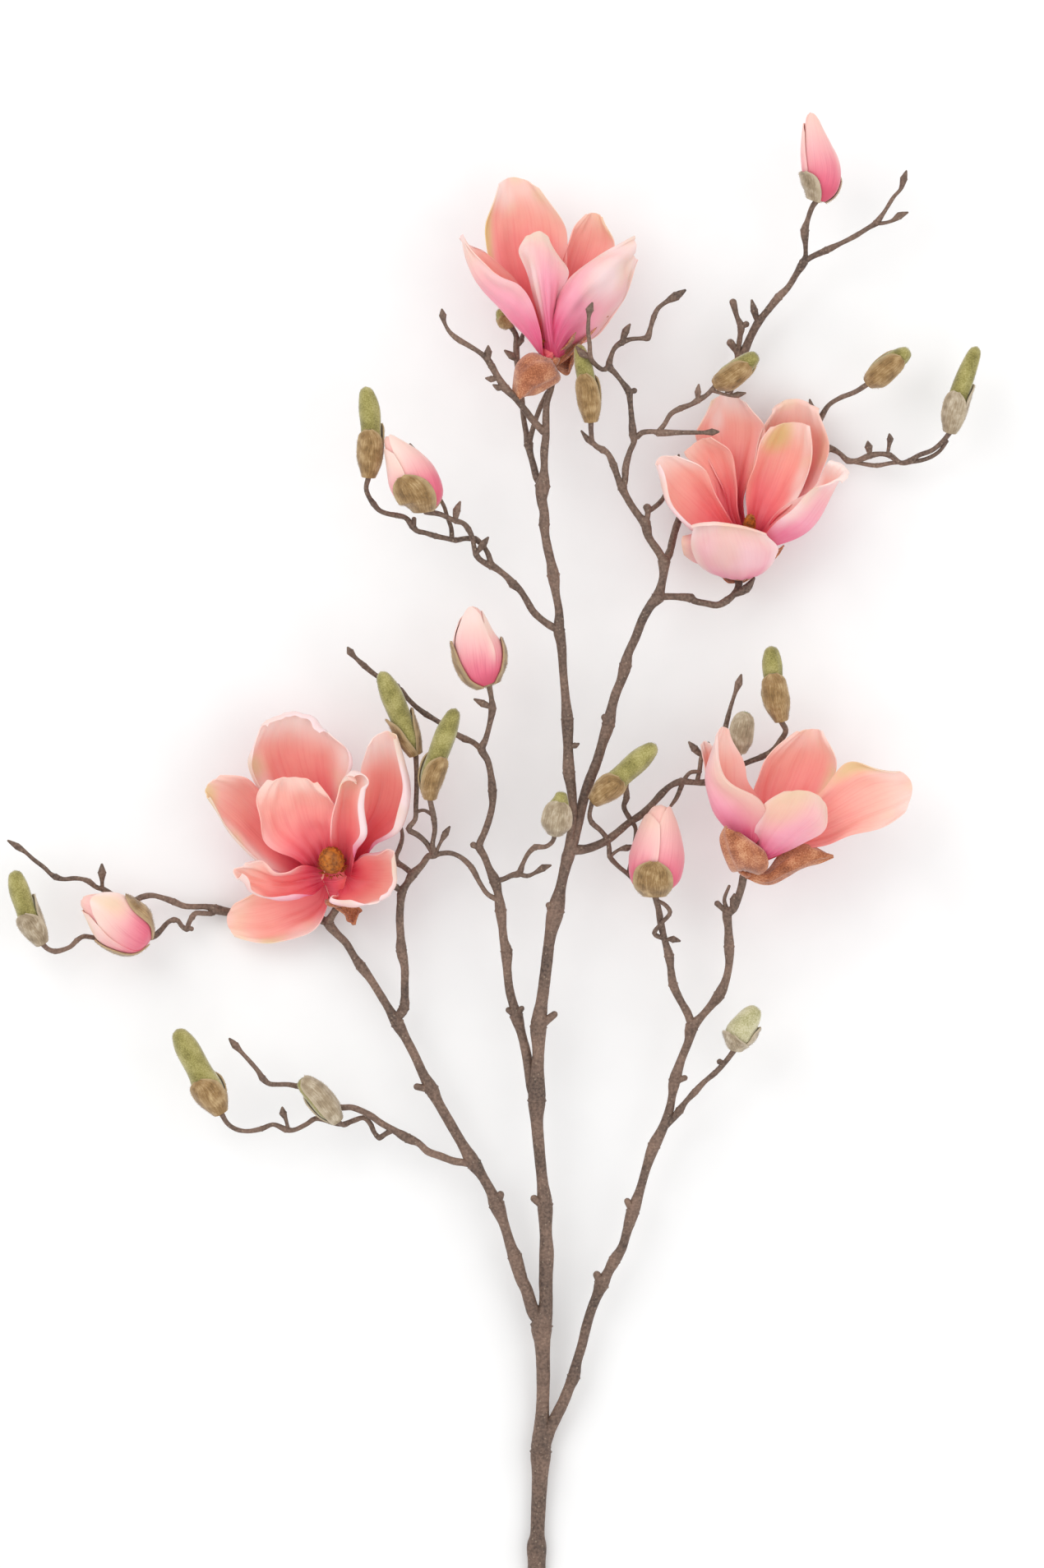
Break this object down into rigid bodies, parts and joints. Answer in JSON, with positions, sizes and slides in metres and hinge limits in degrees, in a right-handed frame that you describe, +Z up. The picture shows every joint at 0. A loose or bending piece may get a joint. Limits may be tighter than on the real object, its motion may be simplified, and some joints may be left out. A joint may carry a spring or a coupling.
{
  "type": "saucer magnolia branch",
  "caption": "Cut leafless saucer magnolia spray: a forking woody stem with open pink blooms, closed pink flower buds and furry green winter buds, laid flat.",
  "frame": {"origin": "centre of the spray's bounding box, on the table that it lies on", "axes": "+Y from the cut end to the tips, +X to the right of the spray seen from above, +Z up from the table"},
  "size_m": [0.5925, 0.896, 0.0966],
  "materials": {
    "bark": "dull brown bark with pale flecks",
    "petal": "smooth salmon-pink petal, paler outside and at the rim",
    "bud_petal": "smooth pale pink petal, deeper pink at the foot",
    "bract": "felted orange-brown bract",
    "cone": "matt yellow-brown seed cone with cream stamens",
    "horn": "furry yellow-green winter bud",
    "scale": "furry grey-brown bud scale"
  },
  "bodies": {
    "root": {"branch_wood": "bark", "top_bloom_petals": "petal", "top_bloom_bracts": "bract", "top_bloom_cone": "cone", "left_bloom_petals": "petal", "left_bloom_bracts": "bract", "left_bloom_cone": "cone", "upper_right_bloom_petals": "petal", "upper_right_bloom_bracts": "bract", "upper_right_bloom_cone": "cone", "right_bloom_petals": "petal", "right_bloom_bracts": "bract", "right_bloom_cone": "cone", "pink_bud_top_petals": "bud_petal", "pink_bud_top_scales": "scale", "pink_bud_upper_left_petals": "bud_petal", "pink_bud_upper_left_scales": "scale", "pink_bud_centre_left_petals": "bud_petal", "pink_bud_centre_left_scales": "scale", "pink_bud_far_left_petals": "bud_petal", "pink_bud_far_left_scales": "scale", "pink_bud_low_right_petals": "bud_petal", "pink_bud_low_right_scales": "scale", "bud_beside_top_horn": "horn", "bud_beside_top_scales": "scale", "bud_above_bloom_horn": "horn", "bud_above_bloom_scales": "scale", "bud_right_horn": "horn", "bud_right_scales": "scale", "bud_far_right_horn": "horn", "bud_far_right_scales": "scale", "bud_upper_left_horn": "horn", "bud_upper_left_scales": "scale", "bud_slim_left_horn": "horn", "bud_slim_left_scales": "scale", "bud_centre_left_horn": "horn", "bud_centre_left_scales": "scale", "bud_round_horn": "horn", "bud_round_scales": "scale", "bud_broad_horn": "horn", "bud_broad_scales": "scale", "bud_above_right_horn": "horn", "bud_above_right_scales": "scale", "bud_grey_right_horn": "horn", "bud_grey_right_scales": "scale", "bud_low_right_horn": "horn", "bud_low_right_scales": "scale", "bud_far_left_horn": "horn", "bud_far_left_scales": "scale", "bud_lower_left_horn": "horn", "bud_lower_left_scales": "scale", "bud_grey_left_horn": "horn", "bud_grey_left_scales": "scale", "bud_behind_top_horn": "horn", "bud_behind_top_scales": "scale"}
  },
  "joints": []
}
